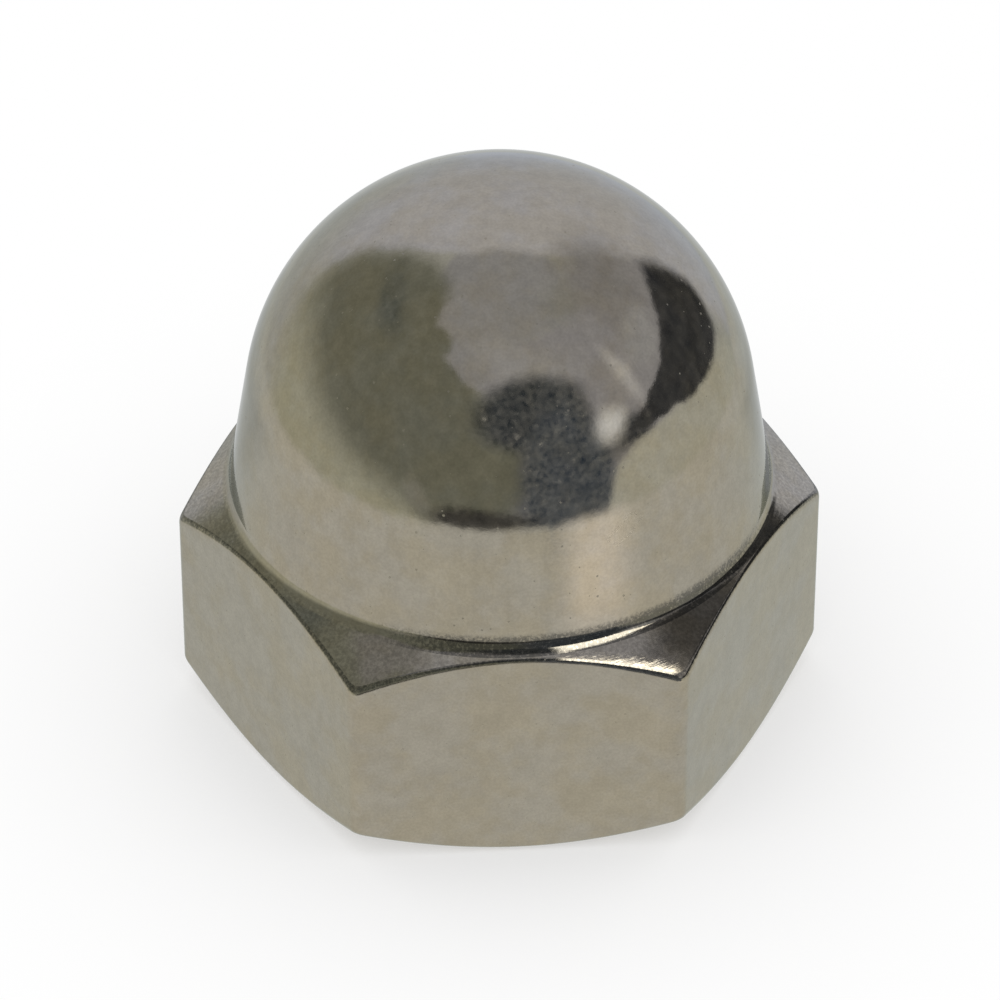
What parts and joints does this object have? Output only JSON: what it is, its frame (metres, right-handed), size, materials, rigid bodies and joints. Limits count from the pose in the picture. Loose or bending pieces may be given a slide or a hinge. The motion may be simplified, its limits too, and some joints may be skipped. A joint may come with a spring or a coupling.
{
  "type": "cap nut",
  "caption": "One-piece domed hexagon cap nut in polished stainless steel that closes off and covers the end of a threaded stud.",
  "frame": {"origin": "centre of the flat bearing face, where the thread axis crosses the plane that the nut rests on", "axes": "+Z along the thread axis towards the dome, +X through two opposite upright edges, Y square to two opposite flats"},
  "size_m": [0.0194, 0.017, 0.018],
  "materials": {
    "stainless_steel": "polished, slightly soft mirror"
  },
  "bodies": {
    "root": {"cap_nut": "stainless_steel"}
  },
  "joints": []
}
